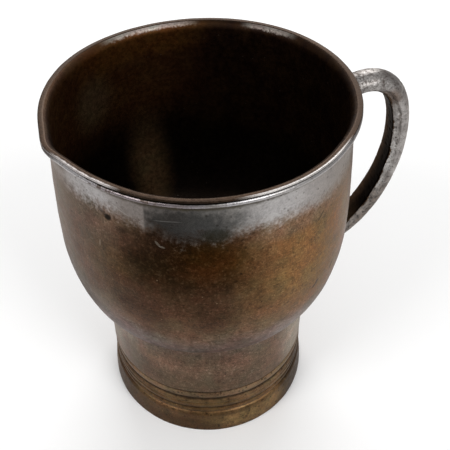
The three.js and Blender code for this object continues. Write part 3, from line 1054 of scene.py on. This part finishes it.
def handle_material(name, dark, pale):
    m = Maker(name)
    medium, small, fine = m.noises((5, 4, 0.6, 41), (1.5, 4, 0.65, 43), (0.55, 3, 0.6, 47))
    lines = m.noise(0.7, 3, 0.6, stretch=(0.25, 1, 0.12), seed=45)
    base = m.blend(medium, 0.35, 0.65, dark, pale)
    base = m.lay(base, m.span(small, 0.56, 0.68), 0.75, "383230")
    base = m.lay(base, m.span(fine, 0.58, 0.7), 0.6, "433c39")
    base = m.lay(base, m.span(small, 0.4, 0.28), 0.5, "cfccca")
    worn_end = m.span(m.total(m.z, (medium, 10)), 92, 80)
    base = m.lay(base, worn_end, 0.7, m.blend(small, 0.42, 0.58, "6a5c50", "2c2118"))
    start = m.span(m.total(m.z, (small, 6), (m.x, -0.25)), 104, 108)
    start = m.both(start, m.span(m.total((small, 0.5), (fine, 0.5)), 0.45, 0.57))
    base = m.lay(base, start, 0.5, "403630")
    # painted brown reflection of the mug's wall, in the shade on the inside of the upper bend
    away = m.vector("DISTANCE", m.place, (64.5, -3, 117.5), "Value")
    base = m.lay(base, m.span(m.total(away, (small, 4)), 7.5, 4.5), 0.65, "5a4332")
    base = m.shade(base, (medium, 0.5), (small, 0.6), (fine, 0.7), (lines, 0.6))
    base = m.lay_rows(base, m.specks, (
        (1.3, 0.3, 0.4, 11, 0.5, "2b2624"),
        (0.9, 0.2, 0.4, 23, 0.38, "2b2624"),
    ))
    height = m.total((small, -0.6), (fine, -0.4), (lines, 0.2))
    return m.finish(base, m.span(small, 0.3, 0.7, 0.34, 0.5), 0.92, height, 0.6, 0.3)


def inner_face_material():
    m = Maker("shaded_handle_face")
    small, fine = m.noises((2.0, 4, 0.6, 51), (0.6, 3, 0.6, 53))
    # painted shade: the inner face is blackest by the near arris and browner away from it, as a
    # painted reflection of the body
    away = m.total(m.y, (small, 2.0))
    base = m.blend(away, -0.2, 5.0, "0c0502", "5a4636")
    base = m.lay(base, m.span(m.z, 72, 64), 0.6, "50402f")
    base = m.shade(base, (small, 0.9), (fine, 0.8))
    return m.finish(base, 0.6, 0.96, small, 0.4, 0.3)


def fringe_material():
    m = Maker("brown_fringe")
    small = m.noise(1.2, 4, 0.6, seed=55)
    base = m.blend(small, 0.4, 0.6, "2a1c12", "584738")
    return m.finish(base, 0.5, 0.94, small, 0.4, 0.3)


def solder_material():
    m = Maker("dull_solder")
    small, fine = m.noises((1.6, 4, 0.6, 61), (0.6, 3, 0.6, 63))
    base = m.blend(small, 0.35, 0.65, "4a443e", "7d766f")
    base = m.lay(base, m.span(fine, 0.56, 0.7), 0.5, "2a2420")
    return m.finish(base, m.span(small, 0.3, 0.7, 0.42, 0.6), 0.85, small, 0.4, 0.3)


def floor_material():
    m = Maker("pale_floor")
    base = m.mix(m.noise(400, 2, 0.5), (0.93, 0.93, 0.93, 1), (0.96, 0.96, 0.96, 1))
    return m.finish(base, 0.9, 0.0)


solder = solder_material()
# In the order of the zones: body outside, lip, inside; handle back, inner face, flanks, fringe
PIECE_MATERIALS = (
    (body, (outer_material(), lip_material(), inner_material())),
    (bead, (bead_material(),)),
    (foot, (foot_material(),)),
    (disc, (inner_material(),)),
    # the flanks are a lighter copy of the grey metal: painted light for the bright floor they
    # reflect
    (handle, (handle_material("grey_cast_metal", "85807d", "a6a29f"), inner_face_material(),
              handle_material("grey_cast_flank_painted_lighter", "989491", "bcb9b6"), fringe_material())),
    *((piece, (solder,)) for piece in (foot_fillet, base_fillet, upper_collar, lower_collar)),
)
for piece, materials in PIECE_MATERIALS:
    for material in materials:
        piece.data.materials.append(material)

# Floor, a hair below the mug
FLOOR_REACH = 3.0
FLOOR_LEVEL = -0.0001
floor_mesh = bpy.data.meshes.new("floor")
floor_mesh.from_pydata([(x * FLOOR_REACH, y * FLOOR_REACH, FLOOR_LEVEL)
                        for x, y in ((-1, -1), (1, -1), (1, 1), (-1, 1))], [], [(0, 1, 2, 3)])
floor = bpy.data.objects.new("floor", floor_mesh)
bpy.context.scene.collection.objects.link(floor)
floor.data.materials.append(floor_material())

# Camera, measured from the photograph; its own frame is turned with the handle's angle
HANDLE_TURN = math.radians(15)
PITCH, YAW, ROLL = math.radians(43.58), math.radians(-0.76), math.radians(2.44)
FOCAL_PIXELS, CENTRE_PIXEL, IMAGE_PIXELS = 711.0, 197.0, 450.0
SENSOR = 36
CAMERA_PLACE = Vector((0, -0.1867, 0.2524))

forward = Vector((math.sin(YAW) * math.cos(PITCH), math.cos(YAW) * math.cos(PITCH),
                  -math.sin(PITCH)))
level = Vector((math.cos(YAW), -math.sin(YAW), 0))
down = forward.cross(level)
right = level * math.cos(ROLL) + down * math.sin(ROLL)
down = down * math.cos(ROLL) - level * math.sin(ROLL)
handle_turn = Matrix.Rotation(-HANDLE_TURN, 4, "Z")
axes = Matrix((right, -down, -forward)).transposed().to_4x4()
camera = bpy.data.objects.new("camera", bpy.data.cameras.new("camera"))
camera.matrix_world = (Matrix.Translation((AXIS_X, 0, 0)) @ handle_turn
                       @ Matrix.Translation(CAMERA_PLACE) @ axes)
camera.data.sensor_width = SENSOR
camera.data.lens = SENSOR * FOCAL_PIXELS / IMAGE_PIXELS
camera.data.shift_x = (IMAGE_PIXELS / 2 - CENTRE_PIXEL) / IMAGE_PIXELS
bpy.context.scene.collection.objects.link(camera)
bpy.context.scene.camera = camera


LAMP_AIM = Vector((0, 0, 0.08))
WORLD_STRENGTH = 0.44


def lamp(name, place, wide, tall, power):
    """A soft box that looks at the mug; place is seen from the camera's side, in metres."""
    data = bpy.data.lights.new(name, "AREA")
    data.shape = "RECTANGLE"
    data.size, data.size_y, data.energy = wide, tall, power
    made = bpy.data.objects.new(name, data)
    spot = handle_turn @ Vector(place)
    made.rotation_euler = (LAMP_AIM - spot).to_track_quat("-Z", "Y").to_euler()
    made.location = spot + Vector((AXIS_X, 0, 0))
    bpy.context.scene.collection.objects.link(made)


lamp("back_box", (0.05, 0.6, 0.5), 0.6, 0.4, 3.2)
lamp("left_box", (-0.45, -0.36, 0.56), 0.3, 0.4, 2.1)
lamp("right_box", (0.36, -0.45, 0.56), 0.3, 0.4, 2.3)

world = bpy.data.worlds.new("studio")
world.use_nodes = True
background = world.node_tree.nodes["Background"]
background.inputs["Color"].default_value = (1, 1, 1, 1)
background.inputs["Strength"].default_value = WORLD_STRENGTH
bpy.context.scene.world = world

bpy.context.scene.view_settings.view_transform = "Standard"
